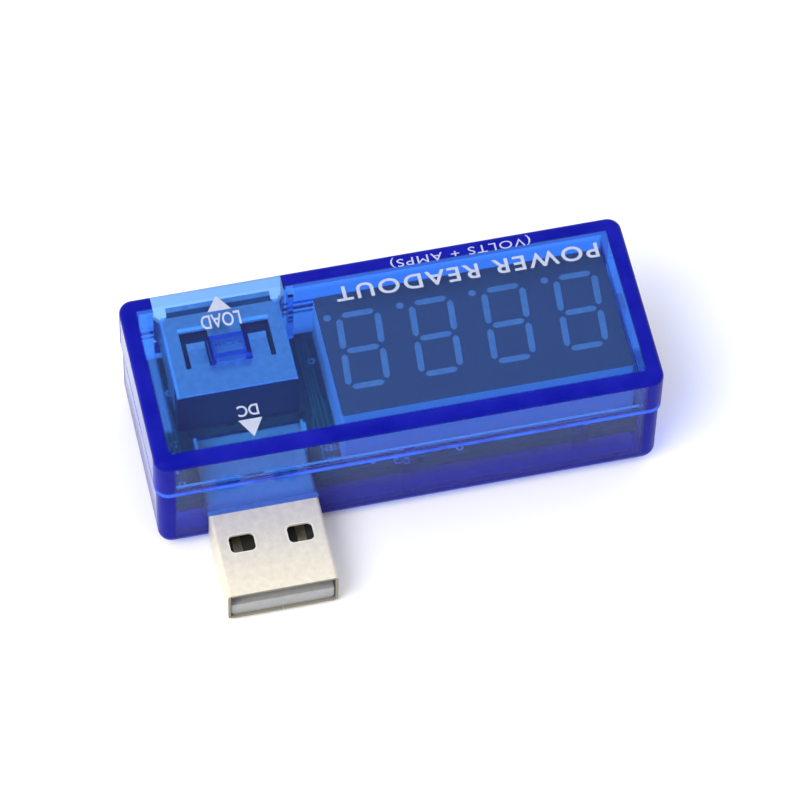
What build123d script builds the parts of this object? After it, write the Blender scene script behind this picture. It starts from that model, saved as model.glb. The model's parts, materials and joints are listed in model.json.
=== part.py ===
from build123d import *
import math
import os

# A pass-through power meter: a plug on one long side, a socket on the other and a four-digit
# display beside them, on one circuit board in a clear two-part case.
# Millimetres. +X runs along the case to the display end, the plug points to -Y and the socket
# opens to +Y. Z is up from the case's underside. X and Y are centred on the whole part.

# ---- Case ----
case_length = 55.4
case_depth = 22.0
case_height = 16.4
plug_reach = 10.0            # how far the plug stands out of the case
parting_height = 10.5        # where the two covers meet
cover_step = 0.25            # the lower cover stands this far inside the upper one
upper_wall = 1.7
lower_wall = 1.5
roof = 1.4
floor = 1.2
corner_radius = 1.5
inside_radius = 0.4          # least radius of an upright corner inside the covers
top_edge_radius = 0.7
bottom_edge_radius = 2.15
lip_height = 0.9             # the lower cover's lip inside the upper cover
lip_thickness = 0.65
lip_clearance = 0.08
bead_length = 5.0            # snap beads on the lip, and their grooves
bead_height = 0.3
bead_reach = 0.15
bead_from_parting = 0.4

left_x = -case_length / 2
right_x = case_length / 2
front_y = plug_reach / 2 - case_depth / 2
back_y = front_y + case_depth
roof_underside = case_height - roof
lower_inset = cover_step + lower_wall   # from the case outline to the lower cover's inside
lip_inset = lower_inset - lip_thickness
rebate_inset = lip_inset - lip_clearance

# ---- Circuit board ----
board_bottom = 5.3
board_thickness = 1.6
board_top = board_bottom + board_thickness
board_left = left_x + 2.2
board_right = right_x - 2.2
board_front = front_y + 2.2
board_back = front_y + 19.7
board_notch_depth = 7.45     # over the plug, from the board's front edge
board_notch_width = 12.5
board_slack = 0.1            # between the board and what stands before its edge
board_corner = 0.6
hole_radius = 0.42

# ---- Supports for the board ----
rest_reach = 1.0             # how far a rest stands out of its wall
rest_width = 6.0             # of the rests at the two ends
back_rest_width = 1.0
rest_overlap = 1.2           # of the board on the rests along its back edge
front_rib_width = 1.2
front_lug_width = 1.5
front_lug_bottom = 4.3
front_lug_top = 8.1
front_lug_x = left_x + 46.6
rest_places = [left_x + 5.5, 0.0, right_x - 8.0]
hold_down_width = 0.6        # the rib from the roof down to the board's back edge
hold_down_x = left_x + 18.5
hold_down_overlap = 0.5      # of that rib on the board
end_rib_width = 2.0          # the rib from the roof down to the board's right end
hold_down_gap = 0.03
overlap = 0.2                # how far a rib is let into its wall

# ---- Plug ----
plug_width = 12.0
plug_height = 4.5
plug_sheet = 0.3
plug_corner = 0.4
plug_length = 19.6           # whole shell, of which plug_reach is outside
plug_bottom = 0.45
plug_x = left_x + 11.6
plug_window_clearance = 0.08
latch_width = 2.75
latch_length = 2.2
latch_corner = 0.55
latch_from_tip = 5.25
latch_spacing = 6.36
plug_tongue_width = 11.2
plug_tongue_thickness = 1.84
plug_tongue_from_tip = 0.3
plug_block_from_tip = 12.2
plug_block_from_rear = 0.2
plug_top = plug_bottom + plug_height
plug_tip = front_y - plug_reach
plug_rear = plug_tip + plug_length
tab_length = 1.6             # the shell's tabs, soldered in the board's notch
tab_front = plug_rear - 2.6
tab_above_board = 0.3
seam_width = 0.08            # where the shell's folded sheet meets, along its underside

# ---- Socket ----
socket_x = left_x + 10.8
socket_mouth_width = 12.5
socket_mouth_height = 5.12
socket_sheet = 0.35
socket_stand_off = 1.0       # from the board to the shell's underside
socket_rear = front_y + 9.9
socket_lip_start = front_y + 20.2
socket_lip_run = 0.9
socket_lip_rise = 0.55
socket_block_length = 2.7
socket_tongue_width = 11.1
socket_tongue_thickness = 1.84
socket_tongue_gap = 0.72     # between the shell's top plate and the tongue
socket_tongue_end = front_y + 20.6
socket_width = socket_mouth_width + 2 * socket_sheet
socket_bottom = board_top + socket_stand_off
socket_top = socket_bottom + socket_mouth_height + 2 * socket_sheet
socket_inner_top = socket_top - socket_sheet
socket_block_front = socket_rear + socket_block_length
tongue_top = socket_inner_top - socket_tongue_gap
tongue_bottom = tongue_top - socket_tongue_thickness
leg_y = front_y + 14.6       # the shell's two board legs
leg_width = 1.9
leg_slack = 0.3
leg_below_board = 0.7
finger_width = 2.0           # sprung fingers of the shell's top plate
finger_offset = 3.35
finger_slot = 0.55           # the slot down each side of a finger
finger_root = front_y + 13.2
finger_tip = front_y + 16.5
finger_slot_end = front_y + 18.0
finger_dip = 0.3
socket_bend = 0.45           # outer radius of the shell's long bends
side_wall_set_back = 1.6     # the block shows past the shell's side walls at the rear
side_window_front = front_y + 16.5
side_window_length = 2.5
side_window_height = 1.0
side_window_bottom = socket_bottom + 2.4
lip_side_gap = 0.9           # from the shell's bends to the ends of each lip
socket_opening_width = 14.3  # of the notches in the covers
pad_width = 4.4              # the hollow pad between the roof and the socket
pad_depth = 2.9
pad_wall = 0.6
pad_front = front_y + 13.15

# ---- Contacts and insulators, common to plug and socket ----
contact_offsets = [-3.5, -1.0, 1.0, 3.5]
contact_width = 1.0
contact_sheet = 0.2
insulator_bevel = 0.3
power_contact_from_tip = 1.5
data_contact_from_tip = 2.5
contact_proud = 0.05         # of a plug contact above its tongue
contact_rise_from_shell = 0.6    # from the shell's rear to where the plug's contacts rise
contact_rise_run = 0.3
contact_foot = 0.7           # length of a contact's foot under the board
tail_width = 0.6
tail_below_board = 0.8
fit_gap = 0.02               # round a contact where it passes through its insulator
beam_sheet = 0.25
beam_drop = 0.45             # the beam's crown stands this far below the tongue
beam_groove_depth = 0.95
beam_groove_width = 1.4
beam_straight = 1.2          # from the block to where a beam starts to slope
beam_crown = front_y + 18.4
beam_crown_length = 0.5
beam_tip = front_y + 20.0
beam_tip_depth = 0.15        # of the beam's tip inside its groove
hinge_gap = 0.05             # between a beam's root and the block
tail_level = tongue_bottom + 0.45
tail_y = socket_block_front - 0.6

# ---- Display ----
display_length = 31.9
display_depth = 15.4
display_height = 7.2
display_corner = 0.25
display_x = left_x + 36.85
display_y = front_y + 11.45
digits_y = front_y + 11.75
display_top = board_top + display_height
substrate_bottom = board_top + 0.5
substrate_thickness = 1.0
substrate_top = substrate_bottom + substrate_thickness
substrate_inset_x = 1.1      # from the housing's ends
substrate_inset_y = 0.7      # from the housing's sides
substrate_slack = 0.1
chip_space = 0.35            # between the substrate and the light guides
chip_size = 0.3
chip_height = 0.2
foot_length = 3.0            # the housing's feet at its corners
foot_height = 0.3
guide_recess = 0.04          # of the light guides below the housing's face
guide_bottom = substrate_top + chip_space
guide_top = display_top - guide_recess
digit_pitch = 8.0
digit_bar_width = 4.2        # between the centre lines of the upright bars
digit_bar_height = 9.15      # between the centre lines of the end bars
digit_slant = 5.0            # degrees
bar_thickness = 0.72
bar_gap = 0.30
dot_radius = 0.42
dot_offset = 1.25            # from the digit's upright bars
pin_pitch = 2.54
pin_row_spacing = 12.7
pins_per_row = 6
pin_size = 0.45
pin_below_board = 1.0

# ---- Small parts under the board: length, width and height of each body ----
under_board = board_bottom
microcontroller_size = (6.5, 4.4, 1.0)
op_amp_size = (4.9, 3.9, 1.4)
regulator_size = (4.5, 2.5, 1.5)
shunt_size = (6.35, 3.2, 0.6)
capacitor_size = (2.0, 1.25, 1.2)
resistor_size = (1.6, 0.8, 0.45)
package_bevel = 0.12
lead_sheet = 0.15
regulator_tab_width = 1.7
regulator_tab_thickness = 0.4
regulator_lead_width = 0.5
regulator_lead_offset = 1.5
regulator_reach = 2.1        # from the regulator's middle to the ends of its leads
solder_height = 0.55
solder_tip_radius = 0.38
solder_foot_radius = 0.75


def block(x0, x1, y0, y1, z0, z1):
    """A box between two corners."""
    centre = Pos((x0 + x1) / 2, (y0 + y1) / 2, (z0 + z1) / 2)
    return centre * Box(x1 - x0, y1 - y0, z1 - z0)


def slab(inset, z0, z1):
    """An upright prism with round corners, this far inside the case's outline."""
    radius = max(corner_radius - inset, inside_radius)
    outline = RectangleRounded(case_length - 2 * inset, case_depth - 2 * inset, radius)
    return extrude(Pos(0, (front_y + back_y) / 2, z0) * outline, amount=z1 - z0)


def along_x(points, x0, x1):
    """A prism along X from an outline of (y, z) points."""
    outline = make_face(Polyline([(x0, y, z) for y, z in points], close=True))
    return extrude(outline, amount=x1 - x0, dir=(1, 0, 0))


def along_y(points, y0, y1):
    """A prism along Y from an outline of (x, z) points."""
    outline = make_face(Polyline([(x, y0, z) for x, z in points], close=True))
    return extrude(outline, amount=y1 - y0, dir=(0, 1, 0))


def along_z(points, z0, z1):
    """A prism along Z from an outline of (x, y) points."""
    outline = make_face(Polyline([(x, y, z0) for x, y in points], close=True))
    return extrude(outline, amount=z1 - z0, dir=(0, 0, 1))


def strip_outline(path, thickness):
    """The outline of a bent strip of even thickness about a path of 2D points."""
    left_side = []
    right_side = []
    for i, point in enumerate(path):
        before = path[max(i - 1, 0)]
        after = path[min(i + 1, len(path) - 1)]
        angle_in = math.atan2(point[1] - before[1], point[0] - before[0])
        angle_out = math.atan2(after[1] - point[1], after[0] - point[0])
        if i == 0:
            angle_in = angle_out
        if i == len(path) - 1:
            angle_out = angle_in
        turn = math.remainder(angle_out - angle_in, 2 * math.pi)
        normal = angle_in + turn / 2 + math.pi / 2
        reach = thickness / 2 / math.cos(turn / 2)
        offset = (reach * math.cos(normal), reach * math.sin(normal))
        left_side.append((point[0] + offset[0], point[1] + offset[1]))
        right_side.append((point[0] - offset[0], point[1] - offset[1]))
    return left_side + right_side[::-1]


# ---- Covers ----
def socket_notch(z0, z1):
    """The space in the back wall that the socket's mouth stands in."""
    half = socket_opening_width / 2
    return block(socket_x - half, socket_x + half, back_y - 4, back_y + 1, z0, z1)


def snap_beads(inset, reach, slack):
    """Beads along the front and back of the lip, or with some slack the grooves for them."""
    half = bead_length / 2 + slack
    z0 = parting_height + bead_from_parting - slack
    z1 = z0 + bead_height + 2 * slack
    beads = []
    for x in (left_x + case_length / 3, right_x - case_length / 6):
        beads.append(block(x - half, x + half, front_y + inset - reach, front_y + inset + 0.3, z0, z1))
        beads.append(block(x - half, x + half, back_y - inset - 0.3, back_y - inset + reach, z0, z1))
    return beads


def make_top_cover():
    shell = slab(0, parting_height, case_height)
    shell = fillet(shell.faces().sort_by(Axis.Z)[-1].edges(), top_edge_radius)
    shell -= slab(upper_wall, parting_height - 1, roof_underside)
    # Rebate for the lower cover's lip
    shell -= slab(rebate_inset, parting_height - 1, parting_height + lip_height + lip_clearance)
    shell -= snap_beads(lip_inset, bead_reach + lip_clearance, 0.05)
    shell -= socket_notch(parting_height - 1, roof_underside)
    # Ribs down to the board's back edge and right end, clear of the lower cover's lip
    half = hold_down_width / 2
    shell += block(hold_down_x - half, hold_down_x + half, board_back - hold_down_overlap,
                   back_y - lower_inset - board_slack, board_top + hold_down_gap, roof_underside + overlap)
    half = end_rib_width / 2
    shell += block(display_x + display_length / 2 + 0.05, right_x - lower_inset - board_slack,
                   display_y - half, display_y + half, board_top + hold_down_gap, roof_underside + overlap)
    # Hollow pad that holds the socket down
    pad = block(socket_x - pad_width / 2, socket_x + pad_width / 2, pad_front, pad_front + pad_depth,
                socket_top + hold_down_gap, roof_underside + overlap)
    half = pad_width / 2 - pad_wall
    pad -= block(socket_x - half, socket_x + half, pad_front + pad_wall, pad_front + pad_depth - pad_wall,
                 socket_top - 1, roof_underside)
    return shell + pad


def make_bottom_cover():
    tray = slab(cover_step, 0, parting_height)
    tray = fillet(tray.faces().sort_by(Axis.Z)[0].edges(), bottom_edge_radius)
    tray += slab(lip_inset, parting_height - 0.5, parting_height + lip_height)
    tray += snap_beads(lip_inset, bead_reach, 0)
    tray -= slab(lower_inset, floor, case_height)
    tray -= socket_notch(board_top + 0.1, case_height)
    # Board rests at both ends and along the back
    half = rest_width / 2
    inside_end = case_length / 2 - lower_inset
    for side in (-1, 1):
        ends = sorted((side * (inside_end + overlap), side * (inside_end - rest_reach)))
        tray += block(*ends, display_y - half, display_y + half, floor - overlap, board_bottom)
    half = back_rest_width / 2
    for x in rest_places:
        tray += block(x - half, x + half, board_back - rest_overlap, back_y - lower_inset + overlap,
                      floor - overlap, board_bottom)
    # Stiffening rib at the middle of the front wall, and a short lug beside it
    wall_y = front_y + lower_inset - overlap
    half = front_rib_width / 2
    tray += block(-half, half, wall_y, board_front - board_slack, floor - overlap, parting_height - overlap)
    half = front_lug_width / 2
    tray += block(front_lug_x - half, front_lug_x + half, wall_y, board_front - board_slack,
                  front_lug_bottom, front_lug_top)
    # Window in the front wall and a bed in the floor for the plug
    half = plug_width / 2 + plug_window_clearance
    tray -= block(plug_x - half, plug_x + half, plug_tip, plug_rear + 0.3,
                  plug_bottom - plug_window_clearance, plug_top + plug_window_clearance)
    return tray


# ---- Circuit board ----
def leg_places():
    """Centres of the socket shell's two board legs."""
    reach = socket_width / 2 - socket_sheet / 2
    return [(socket_x - reach, leg_y), (socket_x + reach, leg_y)]


def pin_places():
    """Centres of the display's pins."""
    places = []
    for row in (-0.5, 0.5):
        for i in range(pins_per_row):
            along = (i - (pins_per_row - 1) / 2) * pin_pitch
            places.append((display_x + along, display_y + row * pin_row_spacing))
    return places


def tail_places():
    """Centres of the socket tails where they pass through the board."""
    return [(socket_x + offset, tail_y) for offset in contact_offsets]


def make_circuit_board():
    board = block(board_left, board_right, board_front, board_back, board_bottom, board_top)
    board = fillet(board.edges().filter_by(Axis.Z), board_corner)
    half = board_notch_width / 2
    board -= block(plug_x - half, plug_x + half, board_front - 1, board_front + board_notch_depth,
                   board_bottom - 1, board_top + 1)
    for x, y in leg_places():
        board -= block(x - hole_radius, x + hole_radius, y - leg_width / 2 - leg_slack,
                       y + leg_width / 2 + leg_slack, board_bottom - 1, board_top + 1)
    for x, y in pin_places() + tail_places():
        board -= Pos(x, y, board_bottom) * Cylinder(hole_radius, 4 * board_thickness)
    return board


# ---- Plug ----
def make_plug_shell():
    middle_z = plug_bottom + plug_height / 2
    section = Plane(origin=(plug_x, plug_tip, middle_z), x_dir=(1, 0, 0), z_dir=(0, -1, 0))
    outer = section * RectangleRounded(plug_width, plug_height, plug_corner)
    inner = section * RectangleRounded(plug_width - 2 * plug_sheet, plug_height - 2 * plug_sheet,
                                       plug_corner - plug_sheet)
    shell = extrude(outer, amount=-plug_length) - extrude(inner, amount=-plug_length)
    # Latch windows through both wide faces
    window_y = plug_tip + latch_from_tip + latch_length / 2
    for side in (-0.5, 0.5):
        window = RectangleRounded(latch_width, latch_length, latch_corner)
        shell -= extrude(Pos(plug_x + side * latch_spacing, window_y, 0) * window, amount=2 * plug_height)
    # Folded seam along the underside
    shell -= block(plug_x - seam_width / 2, plug_x + seam_width / 2, plug_tip - 1, plug_rear + 1,
                   plug_bottom - 1, plug_bottom + 2 * plug_sheet)
    # Tabs up into the board's notch
    for side in (-1, 1):
        x = plug_x + side * (plug_width / 2 - plug_sheet / 2)
        shell += block(x - plug_sheet / 2, x + plug_sheet / 2, tab_front, tab_front + tab_length,
                       plug_top - plug_corner - overlap, board_top + tab_above_board)
    return shell


def plug_contact_path(start):
    """A plug contact in (y, z): along the tongue, through the block, up to a foot under the board."""
    level = plug_bottom + plug_sheet + plug_tongue_thickness - contact_sheet / 2 + contact_proud
    rise = plug_rear + contact_rise_from_shell
    foot = board_bottom - contact_sheet / 2
    bend = rise + contact_rise_run
    return [(start, level), (rise, level), (bend, foot), (bend + contact_foot, foot)]


def plug_contact(offset, width, thickness):
    """A plug contact; the two outer ones, for power, start nearer the tip."""
    is_power = abs(offset) > 2
    start = plug_tip + (power_contact_from_tip if is_power else data_contact_from_tip)
    outline = strip_outline(plug_contact_path(start), thickness)
    return along_x(outline, plug_x + offset - width / 2, plug_x + offset + width / 2)


def make_plug_contacts():
    return [plug_contact(offset, contact_width, contact_sheet) for offset in contact_offsets]


def make_plug_insulator():
    inner_bottom = plug_bottom + plug_sheet
    inner_top = plug_top - plug_sheet
    half = plug_tongue_width / 2
    rear = plug_rear - plug_block_from_rear
    body = block(plug_x - half, plug_x + half, plug_tip + plug_tongue_from_tip, rear,
                 inner_bottom, inner_bottom + plug_tongue_thickness)
    body += block(plug_x - half, plug_x + half, plug_tip + plug_block_from_tip, rear, inner_bottom, inner_top)
    body = chamfer(body.edges().filter_by(Axis.Y).group_by(Axis.Z)[0], insulator_bevel)
    body = chamfer(body.edges().filter_by(Axis.Y).group_by(Axis.Z)[-1], insulator_bevel)
    for offset in contact_offsets:
        body -= plug_contact(offset, contact_width + 2 * fit_gap, contact_sheet + fit_gap)
    return body


# ---- Socket ----
def spring_finger(x, sheet):
    """A sprung finger of the shell's top plate, dipping into the mouth towards its free end."""
    level = socket_top - sheet / 2
    path = [(finger_root - 0.3, level), (finger_root + 0.4, level), (finger_tip - 0.8, level - finger_dip),
            (finger_tip, level - finger_dip / 3)]
    return along_x(strip_outline(path, sheet * 0.9), x - finger_width / 2, x + finger_width / 2)


def make_socket_shell():
    half = socket_width / 2
    sheet = socket_sheet
    outer = block(socket_x - half, socket_x + half, socket_rear, socket_lip_start,
                  socket_bottom, socket_top)
    outer = fillet(outer.edges().filter_by(Axis.Y), socket_bend)
    inner = block(socket_x - half + sheet, socket_x + half - sheet, socket_rear - 1, socket_lip_start + 1,
                  socket_bottom + sheet, socket_top - sheet)
    shell = outer - inner
    # Open underneath where the insulator stands on the board
    shell -= block(socket_x - half + sheet, socket_x + half - sheet, socket_rear - 1,
                   socket_block_front + 0.1, socket_bottom - 1, socket_bottom + 2 * sheet)
    # At the rear only the top plate reaches over the block
    shell -= block(socket_x - half - 1, socket_x + half + 1, socket_rear - 1,
                   socket_rear + side_wall_set_back, socket_bottom - 1, socket_top - socket_bend)
    for side in (-1, 1):
        # A U-shaped slot round each sprung finger
        x = socket_x + side * finger_offset
        reach = finger_width / 2 + finger_slot
        shell -= block(x - reach, x + reach, finger_root, finger_slot_end,
                       socket_top - 2 * sheet, socket_top + 1)
        shell += spring_finger(x, sheet)
        # A window in each side
        x = socket_x + side * half
        shell -= block(x - 1, x + 1, side_window_front, side_window_front + side_window_length,
                       side_window_bottom, side_window_bottom + side_window_height)
    # Flared lips round the mouth
    end = socket_lip_start + socket_lip_run
    level = socket_top - sheet / 2
    top_lip = strip_outline([(socket_lip_start - 0.1, level), (socket_lip_start, level),
                             (end, level + socket_lip_rise)], sheet)
    bottom_lip = [(y, socket_top + socket_bottom - z) for y, z in top_lip]
    for lip in (top_lip, bottom_lip):
        shell += along_x(lip, socket_x - half + lip_side_gap, socket_x + half - lip_side_gap)
    for side in (-1, 1):
        x = socket_x + side * (half - sheet / 2)
        path = [(x, socket_lip_start - 0.1), (x, socket_lip_start), (x + side * socket_lip_rise, end)]
        shell += along_z(strip_outline(path, sheet), socket_bottom + lip_side_gap, socket_top - lip_side_gap)
    for x, y in leg_places():
        shell += block(x - sheet / 2, x + sheet / 2, y - leg_width / 2, y + leg_width / 2,
                       board_bottom - leg_below_board, socket_bottom + 1.0)
    return shell


def beam_path():
    """A socket contact spring in (y, z), from its root to its tip."""
    crown_level = tongue_bottom - beam_drop + beam_sheet / 2
    return [(socket_block_front + hinge_gap, tail_level),
            (socket_block_front + beam_straight, tail_level),
            (beam_crown, crown_level),
            (beam_crown + beam_crown_length, crown_level),
            (beam_tip, tongue_bottom + beam_tip_depth)]


def make_contact_springs():
    outline = strip_outline(beam_path(), beam_sheet)
    springs = []
    for offset in contact_offsets:
        x = socket_x + offset
        springs.append(along_x(outline, x - contact_width / 2, x + contact_width / 2))
    return springs


def socket_tail(offset, width, thickness):
    """A tail in (y, z): from the contact's level down through the block and the board."""
    path = [(socket_block_front, tail_level), (tail_y, tail_level), (tail_y, board_bottom - tail_below_board)]
    outline = strip_outline(path, thickness)
    return along_x(outline, socket_x + offset - width / 2, socket_x + offset + width / 2)


def make_socket_tails():
    return [socket_tail(offset, tail_width, contact_sheet) for offset in contact_offsets]


def make_socket_insulator():
    half = socket_mouth_width / 2 - 0.05
    body = block(socket_x - half, socket_x + half, socket_rear, socket_block_front,
                 board_top, socket_inner_top)
    half = socket_width / 2
    body += block(socket_x - half, socket_x + half, socket_rear, socket_rear + side_wall_set_back,
                  board_top, socket_top - socket_bend)
    half = socket_tongue_width / 2
    tongue = block(socket_x - half, socket_x + half, socket_block_front - 0.2, socket_tongue_end,
                   tongue_bottom, tongue_top)
    tongue = chamfer(tongue.faces().sort_by(Axis.Y)[-1].edges().filter_by(Axis.X), insulator_bevel)
    body += tongue
    for offset in contact_offsets:
        x = socket_x + offset
        groove = beam_groove_width / 2
        body -= block(x - groove, x + groove, socket_block_front, socket_tongue_end - 0.35,
                      tongue_bottom - 1, tongue_bottom + beam_groove_depth)
        body -= socket_tail(offset, tail_width + 2 * fit_gap, contact_sheet + fit_gap)
    return body


# ---- Display ----
def bar(length):
    """A seven-segment bar: a long hexagon along X."""
    half = length / 2
    tip = bar_thickness / 2
    return Polygon((-half, 0), (-half + tip, tip), (half - tip, tip), (half, 0), (half - tip, -tip),
                   (-half + tip, -tip), align=None)


def slanted(u, v):
    """A place on a digit, whose top leans to its reader's right."""
    return (u + v * math.tan(math.radians(digit_slant)), v)


def digit_bars():
    """The seven bars of a digit as faces on XY, for a reader who looks towards +Y."""
    wide = digit_bar_width - 2 * bar_gap
    tall = digit_bar_height / 2 - 2 * bar_gap
    faces = []
    for v in (-0.5, 0, 0.5):
        u, v = slanted(0, v * digit_bar_height)
        faces.append(Pos(u, v, 0) * bar(wide))
    for side in (-0.5, 0.5):
        for v in (-0.25, 0.25):
            u, v = slanted(side * digit_bar_width, v * digit_bar_height)
            faces.append(Pos(u, v, 0) * Rot(0, 0, 90 - digit_slant) * bar(tall))
    return faces


def digit_places():
    """Centres of the four digits on the display's face."""
    return [(display_x + (i - 1.5) * digit_pitch, digits_y) for i in range(4)]


def on_display(face, x, y, z):
    """Turn a face so that the display is read from the socket's side, and place it."""
    return Pos(x, y, z) * Rot(0, 0, 180) * face


def make_display_segments(z0, z1):
    return [extrude(on_display(face, x, y, z0), amount=z1 - z0, dir=(0, 0, 1))
            for x, y in digit_places() for face in digit_bars()]


def make_display_dots(z0, z1):
    u, v = slanted(digit_bar_width / 2 + dot_offset, -digit_bar_height / 2)
    dot = Pos(u, v, 0) * Circle(dot_radius)
    return [extrude(on_display(dot, x, y, z0), amount=z1 - z0, dir=(0, 0, 1)) for x, y in digit_places()]


def make_display_housing():
    half_length = display_length / 2
    half_depth = display_depth / 2
    housing = block(display_x - half_length, display_x + half_length, display_y - half_depth,
                    display_y + half_depth, board_top, display_top)
    housing = fillet(housing.edges().filter_by(Axis.Z), display_corner)
    # Seat for the substrate, and standing feet at the corners
    seat_x = half_length - substrate_inset_x + substrate_slack
    seat_y = half_depth - substrate_inset_y + substrate_slack
    housing -= block(display_x - seat_x, display_x + seat_x, display_y - seat_y, display_y + seat_y,
                     board_top - 1, substrate_top)
    between_feet = half_length - foot_length
    housing -= block(display_x - between_feet, display_x + between_feet, display_y - half_depth - 1,
                     display_y + half_depth + 1, board_top - 1, board_top + foot_height)
    cells = make_display_segments(substrate_top, display_top) + make_display_dots(substrate_top, display_top)
    return housing - Compound(children=cells)


def make_display_substrate():
    half_length = display_length / 2 - substrate_inset_x
    half_depth = display_depth / 2 - substrate_inset_y
    return block(display_x - half_length, display_x + half_length, display_y - half_depth,
                 display_y + half_depth, substrate_bottom, substrate_top)


def make_led_chips():
    """One chip on the substrate at the middle of each bar and dot."""
    guides = make_display_segments(0, 1) + make_display_dots(0, 1)
    chips = []
    for guide in guides:
        centre = guide.center()
        chips.append(Pos(centre.X, centre.Y, substrate_top + chip_height / 2) *
                     Box(chip_size, chip_size, chip_height))
    return chips


def make_display_pins():
    half = pin_size / 2
    return [block(x - half, x + half, y - half / 2, y + half / 2, board_bottom - pin_below_board,
                  substrate_bottom)
            for x, y in pin_places()]


# ---- Small parts under the board ----
def gull_leads(x, y, body_width, span, count, pitch, width, body_height):
    """Two rows of gull-wing leads along X for a package under the board."""
    level = under_board - body_height / 2
    foot = under_board - lead_sheet / 2
    inner = body_width / 2
    outer = span / 2
    leads = []
    for side in (-1, 1):
        path = [(y + side * inner, level), (y + side * (inner + 0.25), level),
                (y + side * (outer - 0.5), foot), (y + side * outer, foot)]
        outline = strip_outline(path, lead_sheet)
        for i in range(count // 2):
            along = x + (i - (count / 2 - 1) / 2) * pitch
            leads.append(along_x(outline, along - width / 2, along + width / 2))
    return leads


def package(x, y, size, stand_off=0.1):
    """A moulded package under the board, with its exposed edges bevelled."""
    length, width, height = size
    top = under_board - stand_off
    body = block(x - length / 2, x + length / 2, y - width / 2, y + width / 2, top - height, top)
    return chamfer(body.faces().sort_by(Axis.Z)[0].edges(), package_bevel)


def chip_part(x, y, size, band):
    """A two-ended chip part along X under the board: its body and its two end caps."""
    length, width, height = size
    half = length / 2
    body = block(x - half + band, x + half - band, y - width / 2, y + width / 2,
                 under_board - height, under_board - 0.03)
    caps = []
    for side in (-1, 1):
        inner = x + side * (half - band)
        outer = x + side * half
        caps.append(block(min(inner, outer), max(inner, outer), y - width / 2, y + width / 2,
                          under_board - height - 0.02, under_board))
    return body, caps


microcontroller = dict(x=display_x - 3.5, y=display_y + 0.6)
op_amp = dict(x=display_x + 6.0, y=display_y + 1.2)
regulator = dict(x=display_x + 12.6, y=display_y + 0.2)
shunt = dict(x=display_x - 12.2, y=display_y - 2.2)


def make_microcontroller():
    return package(**microcontroller, size=microcontroller_size)


def make_microcontroller_leads():
    return gull_leads(**microcontroller, body_width=microcontroller_size[1], span=6.4, count=20, pitch=0.65,
                      width=0.25, body_height=1.2)


def make_op_amp():
    return package(**op_amp, size=op_amp_size)


def make_op_amp_leads():
    return gull_leads(**op_amp, body_width=op_amp_size[1], span=6.0, count=8, pitch=1.27, width=0.4,
                      body_height=1.6)


def make_regulator():
    return package(**regulator, size=regulator_size, stand_off=0.42)


def make_regulator_leads():
    """A tab under the body and across its far side, and two outer leads, all flat on the board."""
    x = regulator["x"]
    y = regulator["y"]
    bottom = under_board - regulator_tab_thickness
    half = regulator_tab_width / 2
    strips = [block(x - half, x + half, y - regulator_size[1] / 2, y + regulator_reach, bottom, under_board)]
    half = regulator_lead_width / 2
    for side in (-1, 1):
        lead_x = x + side * regulator_lead_offset
        strips.append(block(lead_x - half, lead_x + half, y - regulator_reach, y - 0.4, bottom, under_board))
    return strips


def make_shunt_parts():
    return chip_part(**shunt, size=shunt_size, band=1.0)


def capacitor_parts():
    places = [(microcontroller["x"], display_y - 4.6), (op_amp["x"], display_y - 4.0),
              (regulator["x"], display_y - 4.0), (regulator["x"], display_y + 4.6)]
    return [chip_part(x, y, capacitor_size, 0.4) for x, y in places]


def resistor_parts():
    places = [(shunt["x"] - 1.6 + 2.6 * i, display_y + 1.6 + 1.7 * row) for row in range(3) for i in range(2)]
    return [chip_part(x, y, resistor_size, 0.3) for x, y in places]


# ---- Solder ----
def solder_cone(x, y):
    """A fillet of solder under the board, round a square pin or a flat tail."""
    cone = Cone(solder_tip_radius, solder_foot_radius, solder_height,
                align=(Align.CENTER, Align.CENTER, Align.MIN))
    return Pos(x, y, board_bottom - solder_height) * cone


def make_solder_joints():
    joints = []
    half = pin_size / 2
    for x, y in pin_places():
        joints.append(solder_cone(x, y) - block(x - half, x + half, y - half / 2, y + half / 2, 0, board_top))
    half = contact_sheet / 2
    for x, y in tail_places():
        joints.append(solder_cone(x, y) - block(x - tail_width / 2, x + tail_width / 2, y - half, y + half,
                                                0, board_top))
    # Wedges between the plug's tabs and the edges of the board's notch
    for side in (-1, 1):
        inner = plug_x + side * plug_width / 2
        outer = plug_x + side * board_notch_width / 2
        joints.append(block(min(inner, outer), max(inner, outer), tab_front + overlap,
                            tab_front + tab_length - overlap, board_bottom, board_top))
    return joints


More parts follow.
